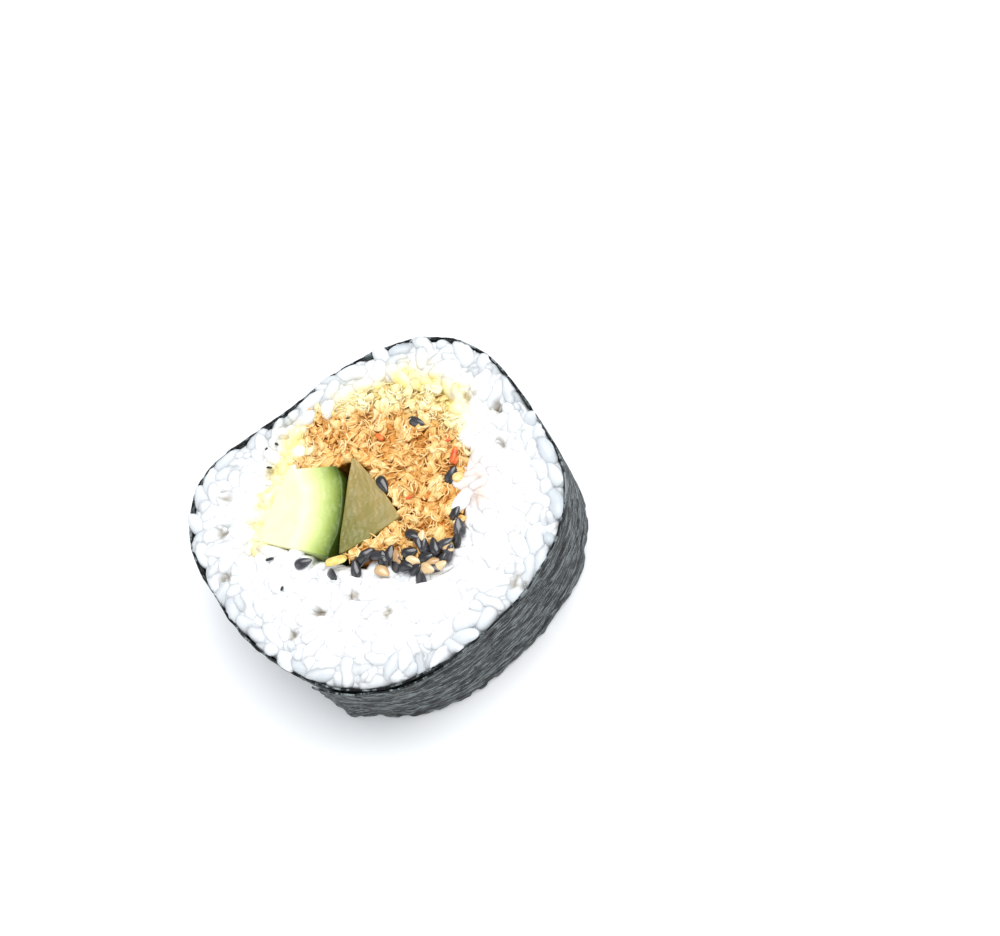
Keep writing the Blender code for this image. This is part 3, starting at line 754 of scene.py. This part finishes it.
def addTuna():
    # the core: a strip that bends round the radish from the seeds to above the cucumber
    look = flakedTuna()
    sideA, sideB = smoothLine(onFace(tuna["inner"]), 200), smoothLine(onFace(tuna["outer"]), 200)
    # tucked under the radish, so that no hole shows beside it
    inward = fillings["pickle"].mean(0) - sideA
    tuck = 1.3 * mm * (1 - smoothStep(distanceTo(fillings["pickle"], sideA) / (1.5 * mm)))
    sideA = sideA + inward * (tuck / np.linalg.norm(inward, axis=1))[:, None]

    def bumps(points, side):
        return 0.45 * mm * ripple(points, 2.2 * mm, 74 + side)

    def coreMarks(verts):
        # darkened with depth in tunaMarks: painted shade under the flakes
        return tunaMarks(verts, 0.3 + 0.12 * ripple(verts, 2 * mm, 71), verts)

    core = makeSlab("tunaCore", sideA, sideB, sliceHeight - tuna["coreTop"], tuna["coreTop"], 0.8 * mm,
                    110, 30, bumps, coreMarks)
    finishPiece(core, look, "tuna", "tuna")

    draw = np.random.default_rng(23)
    loop = fillings["tuna"]

    def fits(pool):
        # inside the tuna's outline, beside the seeds and off the cucumber
        keep = insideLoop(loop, pool) & (distanceTo(loop, pool) > 0.15 * mm)
        keep &= np.linalg.norm(pool[:, None] - seedPlaces()[None], axis=2).min(1) > 1.05 * mm
        return keep & ~insideLoop(fillings["cucumber"], pool)

    def scattered(counts, seed, tries):
        # places for both cuts, which cut each is for, and how many
        places = np.vstack([spreadPlaces(fits, count, seed + k, loop.min(0), loop.max(0), tries)
                            for k, count in enumerate(counts)])
        return places, np.repeat((1, -1), counts), sum(counts)

    def grain(spots):
        # the way the fibres run at each place: a slowly turning field with some disorder
        return 2.4 * ripple(spots, 7 * mm, 131) + draw.normal(0, 0.6, len(spots))

    def heap(spots, depth):
        # the height of a loose heap over each spot: clumps some millimetres wide, pits between them
        clumps = 0.5 + 0.5 * ripple(spots, 4.5 * mm, 132)
        drop = depth * (0.6 * clumps + 0.4 * draw.uniform(0, 1, len(spots)))
        drop *= 0.25 + 0.75 * smoothStep(distanceTo(fillings["pickle"], spots) / (2.0 * mm))
        return np.minimum(sliceHeight - 0.1 * mm - drop, sliceHeight - 0.05 * mm)

    def turned(spots, tip, spin):
        # along the fibres, tipped and spun by up to so many degrees
        yaw = grain(spots)
        return turnsFrom(yaw, *(np.radians(draw.uniform(-most, most, len(spots))) for most in (tip, spin)))

    # the flakes: crumbled bundles of fibres, an ellipsoid ribbed along its length and broken by noise
    places, side, count = scattered(tuna["flakes"], 81, 60)
    u, v, faces = ballGrid(9, 22)
    length = draw.uniform(*tuna["flakeLength"], count)[:, None] * mm
    width = draw.uniform(*tuna["flakeWidth"], count)[:, None] * mm
    ribs = draw.integers(4, 8, count)[:, None]
    rib = np.cos(ribs * v + draw.uniform(0, 6, (count, 1)) + 0.9 * np.cos(u)[None])
    fat = np.sin(u)[None] ** 0.6 * (1 + 0.08 * rib)
    along = -np.cos(u)[None] * length / 2
    shapes = np.stack([along, fat * np.cos(v) * width / 2, fat * np.sin(v) * width * 0.42], -1)
    shapes[..., 2] += draw.uniform(-0.5, 0.5, (count, 1)) * mm * (2 * along / length) ** 2
    own = (shapes + draw.uniform(0, 0.2, (count, 1, 3))).reshape(-1, 3)
    verts = copies(shapes, turned(places, 34, 50), places)
    verts += 0.17 * mm * np.stack([ripple(verts, 1.7 * mm, 91 + k) for k in range(3)], -1)
    verts = settled(verts, heap(places, 1.7 * mm), side).reshape(-1, 3)
    # lighter on each rib and darker in the grooves between them: painted shade, with a random tone over it
    tone = 0.36 + 0.06 * rib + draw.uniform(-0.07, 0.10, (count, 1))
    tone = (tone + 0.08 * ripple(places, 4 * mm, 133)[:, None]).ravel()
    flakes = makeCopies("tunaFlakes", verts, len(u), faces, tunaMarks(verts, tone, own))
    finishPiece(flakes, look, "tuna", "tuna")

    # the loose fibres: thin bent threads, a tapering tube along a curve
    places, side, count = scattered(tuna["shreds"], 83, 12)
    u, v, faces = ballGrid(8, 6)
    length = draw.uniform(*tuna["shredLength"], count)[:, None] * mm
    thick = draw.uniform(*tuna["shredThick"], count)[:, None] * mm
    along = -np.cos(u)[None] * length / 2
    fat = np.sin(u)[None] ** 0.5
    shapes = np.stack([along, fat * np.cos(v) * thick * 1.3, fat * np.sin(v) * thick], -1)
    shapes[..., 1] += draw.uniform(-0.6, 0.6, (count, 1)) * mm * (2 * along / length) ** 2
    own = (shapes + draw.uniform(0, 0.2, (count, 1, 3))).reshape(-1, 3)
    verts = copies(shapes, turned(places, 28, 60), places)
    verts = settled(verts, heap(places, 1.5 * mm), side).reshape(-1, 3)
    tone = np.repeat(draw.uniform(0.15, 0.6, count), len(u))
    shreds = makeCopies("tunaShreds", verts, len(u), faces, tunaMarks(verts, tone, own))
    finishPiece(shreds, look, "tuna", "tuna")
    print("tuna made")


dressing = {
    # mayonnaise pressed out beside the cucumber: its line on the cut face, in millimetres
    "line": ((-20.4, -5.8), (-19.1, -1.4), (-17.8, 3.0), (-16.4, 7.2), (-15.4, 11.0), (-14.6, 13.6)),
    "lumps": 60, "size": (1.8, 3.0), "spread": 0.5 * mm, "sunk": (0.2, 0.9),
    "tones": ((0.3, "#e6cf7c"), (0.5, "#f3e4a2"), (0.7, "#faf2cc")),
}


def addDressing():
    # soft lumps of dressing along a line: balls pushed out of round by a random field
    draw = np.random.default_rng(31)
    count = dressing["lumps"]
    line = smoothLine(onFace(dressing["line"]), count)
    places = line + draw.normal(0, 1, (count, 2)) * dressing["spread"]
    u, v, faces = ballGrid(9, 16)
    size = draw.uniform(*dressing["size"], count)[:, None] * mm
    shapes = np.stack([-np.cos(u)[None] * size * 0.7, np.sin(u) * np.cos(v) * size / 2,
                       np.sin(u) * np.sin(v) * size * 0.4], -1)
    turns = turnsFrom(draw.uniform(0, 2 * np.pi, count), draw.uniform(-0.5, 0.5, count), np.zeros(count))
    verts = copies(shapes, turns, places)
    verts += 0.16 * mm * np.stack([ripple(verts, 1.2 * mm, 141 + k) for k in range(3)], -1)
    tops = sliceHeight - draw.uniform(*dressing["sunk"], count) * mm
    verts = settled(verts, tops, np.ones(count)).reshape(-1, 3)
    lumps = makeCopies("dressing", verts, len(u), faces)
    finishPiece(lumps, plainMaterial("mayonnaise", dressing["tones"], 0.3, 2 * mm), "tuna")
    print("dressing made")


cucumber = {
    # two sides of a strip, run the same way, in mm on the cut face
    "left": ((-15.1, 7.5), (-17.6, 1.4), (-19.9, -4.7)),
    "right": ((-6.5, 7.5), (-5.4, 5.2), (-5.1, 1.6), (-5.6, -3.4), (-7.3, -8.1)),
    "top": sliceHeight - 0.3 * mm,
    "under": 0.2 * mm,
    "skinDepth": 7.5 * mm,
    "cloud": 3.33 * mm, "cells": 0.714 * mm,
    "finish": {"Roughness": 0.22, "IOR": 1.36, "Subsurface Weight": 0.2,
               "Subsurface Radius": (1.0, 1.0, 0.7), "Subsurface Scale": 1.5 * mm},
    "tones": ((0.0, "#ede8b0"), (0.16, "#f1efc8"), (0.36, "#e5eab0"), (0.58, "#c8d586"), (0.78, "#98aa55"),
              (0.92, "#6b7d34"), (1.0, "#44561a")),
}


def cutCucumber():
    # fresh cucumber, knife cut: wet pale flesh, greener towards the skin, its water standing in small cells
    material, tree, shader = startMaterial("cutCucumber")
    coords = addNode(tree, "TexCoord")
    cloud = addNode(tree, "TexNoise", [("Vector", coords, "Object")], Scale=1 / cucumber["cloud"],
                    Detail=3)
    body = addNode(tree, "ValToRGB", [("Fac", mottled(tree, cloud, 0.12, "skin"), "Value")],
                   cucumber["tones"])
    cells = addNode(tree, "TexVoronoi", [("Vector", coords, "Object")], Scale=1 / cucumber["cells"])
    bump = addNode(tree, "Bump", [("Height", cells, "Distance")], Strength=0.35, Distance=0.06 * mm)
    setNode(tree, shader, [("Base Color", body, "Color"), ("Normal", bump, "Normal")], **cucumber["finish"])
    return material


def wavy(points, side):
    # a knife cut's height: long faint waves and finer ones over them
    return mm * (0.05 * ripple(points, 3.5 * mm, 101 + side) + 0.02 * ripple(points, 0.8 * mm, 105 + side))


def addCucumber():
    # a strip between two cut sides, edges barely rounded
    left = evenLine(onFace(cucumber["left"]), 60)
    right = smoothLine(onFace(cucumber["right"]), 60)

    def skinShare(verts):
        # how near the skin: 1 on the right side, falling away quickly into the pale flesh
        depth = np.linalg.norm(verts[:, None, :2] - right[None], axis=2).min(1)
        return {"skin": 0.96 * np.clip(1 - depth / cucumber["skinDepth"], 0, 1)}

    baton = makeSlab("cucumberBaton", left, right, cucumber["under"], cucumber["top"], 0.25 * mm, 70, 50,
                     wavy, skinShare)
    finishPiece(baton, cutCucumber(), "cucumber", "cucumber")
    print("cucumber made")


pickle = {
    # two sides of a strip, run the same way, in mm on the cut face
    "left": ((-3.9, 8.8), (-4.5, 5.0), (-5.0, 0.0), (-5.5, -4.4), (-5.6, -7.5)),
    "right": ((-3.4, 8.8), (1.2, 3.5), (4.7, -1.9), (-0.7, -5.4), (-5.0, -7.5)),
    "top": sliceHeight - 0.7 * mm,
    "under": 0.2 * mm,
    "darkEnd": (-5, -8),
    "grain": 2.38 * mm, "grainStretch": 0.3, "pores": 0.556 * mm,
    "finish": {"Roughness": 0.22, "IOR": 1.38, "Subsurface Weight": 0.5,
               "Subsurface Radius": (1.0, 0.9, 0.3), "Subsurface Scale": 2.0 * mm},
    "tones": ((0.25, "#6e6e36"), (0.45, "#857f47"), (0.65, "#9c8b53"), (0.9, "#b79e68")),
}


def pickledRadish():
    # radish pickled in soy: dense, glassy olive flesh with a faint grain and a wet cut face
    material, tree, shader = startMaterial("pickledRadish")
    coords = addNode(tree, "TexCoord")
    lie = addNode(tree, "Mapping", [("Vector", coords, "Object")], Scale=(1, pickle["grainStretch"], 1))
    cloud = addNode(tree, "TexNoise", [("Vector", lie, "Vector")], Scale=1 / pickle["grain"],
                    Detail=6, Roughness=0.7)
    body = addNode(tree, "ValToRGB", [("Fac", mottled(tree, cloud, 0.5, "skin"), "Value")],
                   pickle["tones"])
    fine = addNode(tree, "TexNoise", [("Vector", coords, "Object")], Scale=1 / pickle["pores"], Detail=3)
    bump = addNode(tree, "Bump", [("Height", fine, "Fac")], Strength=0.3, Distance=0.08 * mm)
    setNode(tree, shader, [("Base Color", body, "Color"), ("Normal", bump, "Normal")], **pickle["finish"])
    return material


def addRadish():
    # a strip as the cucumber's, darker at its lower left and paler towards its upper right
    left, right = smoothLine(onFace(pickle["left"]), 60), evenLine(onFace(pickle["right"]), 60)

    def paleShare(verts):
        beyond = (verts[:, :2] - onFace(pickle["darkEnd"])).sum(1)
        return {"skin": np.clip(0.1 + 0.45 * beyond / (22 * mm), 0, 1)}

    baton = makeSlab("radishBaton", left, right, pickle["under"], pickle["top"], 0.25 * mm, 70, 36,
                     wavy, paleShare)
    finishPiece(baton, pickledRadish(), "pickle", "pickle")
    print("radish made")


sesame = {
    "line": ((-11.2, -10.4), (-5.6, -10.7), (1.0, -11.6), (7.6, -11.3), (13.0, -9.2), (16.2, -5.2)),
    "width": 2.6 * mm, "bedSunk": 2.1 * mm,
    "cloud": 1.11 * mm, "net": 0.278 * mm,
    "size": (3.1, 1.85, 1.0),  # length, width and thickness in mm
    # seeds that lie on the upper cut: place in millimetres, turn and tip in degrees
    "black": ((7.1, 14.3, -20, 10), (1.7, 3.7, -60, 0), (13.3, 4.6, 60, 20), (14.0, -1.6, 62, 12),
              (14.7, -4.3, 95, 15), (14.2, -6.2, 70, 30), (12.3, -6.9, 25, 10), (10.6, -7.4, 100, 5),
              (8.9, -7.3, 80, 25), (7.0, -5.2, -30, 10), (8.0, -6.3, -75, 15), (6.5, -8.2, 15, 5),
              (4.3, -9.9, 60, 30), (2.0, -8.8, 100, 15), (0.9, -8.2, -20, 20), (-0.8, -8.0, 35, 5),
              (-1.9, -8.9, 20, 30), (-2.6, -10.4, 100, 10), (5.9, -10.4, -15, 15), (8.3, -12.3, 85, 35),
              (-11.6, -8.9, 15, 5), (-6.9, -10.9, 60, 60), (11.5, -9.4, 40, 20), (9.2, -9.0, 10, 15),
              (10.3, -10.9, -25, 10), (12.9, -8.6, 60, 20), (3.1, -8.2, 75, 10), (7.4, -10.9, 20, 30)),
    "pale": ((4.1, -8.7, -55, 15), (7.1, -9.6, -10, 5), (10.2, -9.9, 10, 10), (9.5, -11.0, -20, 12),
             (1.9, -10.9, -35, 5), (12.8, -7.4, -45, 25), (8.3, -5.9, 70, 20), (11.4, -10.6, 20, 15)),
    "blackTones": ((0.2, "#0e0d10"), (0.6, "#232127"), (0.95, "#5a5860")),
    "paleTones": ((0.2, "#b48a58"), (0.55, "#dcbb8a"), (0.9, "#efd6a8")),
}


def seedCoat(name, tones, roughness):
    # sesame: a thin oily seed coat with a fine net of wrinkles
    material, tree, shader = startMaterial(name)
    coords = addNode(tree, "TexCoord")
    cloud = addNode(tree, "TexNoise", [("Vector", coords, "Object")], Scale=1 / sesame["cloud"], Detail=3)
    body = addNode(tree, "ValToRGB", [("Fac", mottled(tree, cloud, 0.4, "tone"), "Value")], tones)
    net = addNode(tree, "TexVoronoi", [("Vector", coords, "Object")], Scale=1 / sesame["net"])
    bump = addNode(tree, "Bump", [("Height", net, "Distance")], Strength=0.3, Distance=0.05 * mm)
    setNode(tree, shader, [("Base Color", body, "Color"), ("Normal", bump, "Normal")], Roughness=roughness,
            Coat_Weight=1, Coat_Roughness=0.12)
    return material


def seedShapes(count, draw):
    # a sesame seed: an ellipsoid drawn to a point at one end and flattened
    u, v, faces = ballGrid(9, 12)
    length, width, thick = (size * mm * draw.uniform(0.88, 1.1, (count, 1)) for size in sesame["size"])
    taper = np.sin(u)[None] ** 0.9 * (1 + 0.42 * np.cos(u)[None])
    shapes = np.stack([np.broadcast_to(-np.cos(u)[None] * length / 2, (count, len(u))),
                       taper * np.cos(v) * width / 2, taper * np.sin(v) * thick / 2], -1)
    return shapes, faces, len(u)


def addSesame(riceLook):
    # the seeds' bed: a strip of rice along the band, and over it the seeds of the upper and the lower cut
    def bumps(points, side):
        return 0.3 * mm * ripple(points, 2 * mm, 111 + side)

    bed = makeSlab("sesameBed", bandLine - bandSide, bandLine + bandSide, sesame["bedSunk"],
                   sliceHeight - sesame["bedSunk"], 0.5 * mm, 90, 12, bumps)
    finishPiece(bed, riceLook, "sesame", "sesame")
    draw = np.random.default_rng(29)
    under = evenLine(bandLine, 26) + draw.uniform(-1, 1, (26, 2)) * mm
    blackLook = seedCoat("blackSesame", sesame["blackTones"], 0.3)
    paleLook = seedCoat("huskedSesame", sesame["paleTones"], 0.4)
    for name, seeds, look, some in (("blackSeeds", sesame["black"], blackLook, under),
                                    ("paleSeeds", sesame["pale"], paleLook, under[3::6] + 0.4 * mm)):
        top = np.array(seeds, float)
        places = np.vstack([onFace(top[:, :2]), some])
        count = len(places)
        side = np.where(np.arange(count) < len(top), 1, -1)
        yaw = np.radians(np.concatenate([top[:, 2], draw.uniform(0, 360, len(some))]))
        tip = np.radians(np.concatenate([top[:, 3], draw.uniform(0, 40, len(some))]))
        shapes, faces, size = seedShapes(count, draw)
        verts = copies(shapes, turnsFrom(yaw, tip, draw.uniform(-0.5, 0.5, count)), places)
        tops = draw.uniform(sliceHeight - 0.35 * mm, sliceHeight, count)
        verts = settled(verts, tops, side).reshape(-1, 3)
        tone = np.repeat(draw.uniform(0.0, 0.5, count), size)
        finishPiece(makeCopies(name, verts, size, faces, {"tone": tone}), look, "sesame", "sesame")
    print("sesame made")


husk = {
    "place": (-5.9, -8.9), "turn": 12,
    "length": 3.9 * mm, "width": 1.5 * mm, "thickness": 0.15 * mm,
    "sunk": 0.65 * mm, "curl": 0.4 * mm, "lean": 0.1 * mm,
    "tones": ((0.3, "#d9b45a"), (0.7, "#f3dc8e")),
}


def addHusk():
    # a thin shell with rounded ends, curled up along both edges
    s, t = np.meshgrid(np.linspace(-1, 1, 15), np.linspace(-1, 1, 9), indexing="ij")
    x = husk["length"] / 2 * s
    y = husk["width"] / 2 * np.sqrt(np.maximum(1 - s**4, 0.02)) * t
    z = sliceHeight - husk["sunk"] + husk["curl"] * t**2 + husk["lean"] * s
    turn, place = math.radians(husk["turn"]), onFace(husk["place"])
    verts = np.stack([x * math.cos(turn) - y * math.sin(turn) + place[0],
                      x * math.sin(turn) + y * math.cos(turn) + place[1], z], -1).reshape(-1, 3)
    shell = makePiece("yellowHusk", verts, [gridQuads(15, 9)])
    wall = shell.modifiers.new("wall", "SOLIDIFY")
    wall.thickness = husk["thickness"]
    finishPiece(shell, plainMaterial("driedHusk", husk["tones"], 0.4, 1.11 * mm), "sesame")
    print("husk made")


# small blunt sticks on the upper cut: each row is a place, a turn in degrees, a length and a width in mm
carrot = {
    "rows": ((0.9, 12.1, -40, 1.7, 0.9), (13.7, 8.0, 75, 3.0, 1.0), (14.1, 7.0, 60, 1.4, 0.6),
             (12.4, 10.4, 40, 1.8, 0.5), (6.2, 1.2, 20, 1.2, 0.5)),
    "sunk": 0.62 * mm,
    "material": "simmeredCarrot", "roughness": 0.35, "cloud": 1.43 * mm,
    "tones": ((0.35, "#c8421c"), (0.65, "#f07a34")),
}
crumbs = {
    "rows": ((-17.4, -8.0, 10, 1.5, 0.5), (-15.0, -13.1, 70, 0.8, 0.4), (-17.2, 12.1, -30, 0.8, 0.4),
             (-18.3, 8.0, -10, 1.1, 0.4), (-19.0, 11.4, 40, 0.6, 0.3)),
    "sunk": 0.27 * mm,
    "material": "seaweedCrumb", "roughness": 0.5, "cloud": 1.11 * mm,
    "tones": ((0.35, "#0c0d0d"), (0.65, "#2a2e2e")),
}


def addSlivers(name, sticks, slot):
    # an ellipsoid with squared sides
    bits = np.array(sticks["rows"])
    count = len(bits)
    u, v, faces = ballGrid(9, 12)
    box = [np.sign(wave) * np.abs(wave) ** 0.6 for wave in (np.cos(v), np.sin(v))]
    fat = np.sin(u)[None] ** 0.5
    shapes = mm * np.stack([-np.cos(u)[None] * bits[:, 3:4] / 2, fat * box[0] * bits[:, 4:5] / 2,
                            fat * box[1] * bits[:, 4:5] * 0.4], -1)
    turns = turnsFrom(np.radians(bits[:, 2]), np.full(count, 0.1), np.zeros(count))
    verts = copies(shapes, turns, onFace(bits[:, :2])).reshape(-1, 3)
    verts[:, 2] += sliceHeight - sticks["sunk"]
    look = plainMaterial(sticks["material"], sticks["tones"], sticks["roughness"], sticks["cloud"])
    finishPiece(makeCopies(name, verts, len(u), faces), look, slot)
    print(name, "made")


stage = {
    "floor": ((0.4, "#f7f8fa"), (0.6, "#ffffff")), "floorSize": 3.0,
    # name, place, power in watts, size in metres
    "lamps": (("key", (0.17, 0.17, 0.65), 5.5, 0.6), ("fill", (-0.45, -0.35, 0.45), 1.0, 0.6),
              ("front", (0.35, -0.45, 0.35), 0.5, 0.4)),
    "sky": 0.54, "skyColour": "#e8eff7",
    "cameraPlace": (0.0702, -0.0681, 0.2430),
    "cameraRight": (0.97627, 0.0, -0.21657), "cameraUp": (0.06782, 0.94970, 0.30573),
    "cameraBack": (0.20567, -0.31316, 0.92716),
    "lens": 52.2,
}


def addStage():
    # a floor, three square lamps that look at the slice, and an even sky
    half = stage["floorSize"] / 2
    verts = np.array([[-half, -half, 0], [half, -half, 0], [half, half, 0], [-half, half, 0]])
    floor = makePiece("floor", verts, [np.array([[0, 1, 2, 3]])])
    floor.data.materials.append(plainMaterial("matteLaminate", stage["floor"], 0.6, 200 * mm))
    for name, place, power, size in stage["lamps"]:
        lamp = bpy.data.lights.new(name, "AREA")
        lamp.energy = power
        lamp.size = size
        holder = bpy.data.objects.new(name, lamp)
        holder.location = place
        away = np.array(place) - np.array((0, 0, 0.01))
        holder.rotation_euler = Matrix(np.column_stack(lookBasis(away))).to_euler()
        bpy.context.scene.collection.objects.link(holder)
    world = bpy.data.worlds.new("studio")
    world.use_nodes = True
    background = world.node_tree.nodes["Background"]
    setNode(world.node_tree, background, Color=linear(stage["skyColour"]), Strength=stage["sky"])
    bpy.context.scene.world = world
    print("stage made")


def lookBasis(back):
    # right, up and back directions of something that looks along minus back
    back = back / np.linalg.norm(back)
    right = np.cross((0.0, 0.0, 1.0), back)
    right /= np.linalg.norm(right)
    return right, np.cross(back, right), back


def addCamera():
    # its right, up and back directions and its place are the columns of one matrix
    lens = bpy.data.cameras.new("camera")
    lens.lens = stage["lens"]
    lens.sensor_width = 36
    lens.clip_start = 0.01
    camera = bpy.data.objects.new("camera", lens)
    columns = [stage["cameraRight"], stage["cameraUp"], stage["cameraBack"], stage["cameraPlace"]]
    camera.matrix_world = Matrix([*np.column_stack(columns).tolist(), [0, 0, 0, 1]])
    bpy.context.scene.collection.objects.link(camera)
    bpy.context.scene.camera = camera


# the outlines that the rice and the tuna keep to: two sides of a strip each, and the band of seeds
fillings = {
    "cucumber": np.vstack([onFace(cucumber["left"]), onFace(cucumber["right"])[::-1]]),
    "pickle": np.vstack([onFace(pickle["left"]), onFace(pickle["right"])[::-1]]),
    "tuna": np.vstack([smoothLine(onFace(tuna["inner"]), 60), smoothLine(onFace(tuna["outer"]), 90)[::-1]]),
}
bandLine = smoothLine(onFace(sesame["line"]), 60)
bandAlong = np.gradient(bandLine, axis=0)
bandAlong /= np.linalg.norm(bandAlong, axis=1)[:, None]
bandSide = np.column_stack([-bandAlong[:, 1], bandAlong[:, 0]]) * sesame["width"] / 2
fillings["band"] = np.vstack([bandLine - bandSide, (bandLine + bandSide)[::-1]])

addCamera()
addStage()
addNoriSheet()
riceLook = cookedRice()
addRice(riceLook)
addTuna()
addDressing()
addCucumber()
addRadish()
addSesame(riceLook)
addHusk()
addSlivers("carrotSlivers", carrot, "tuna")
addSlivers("darkCrumbs", crumbs, "nori")
bpy.context.scene.view_settings.view_transform = "Standard"
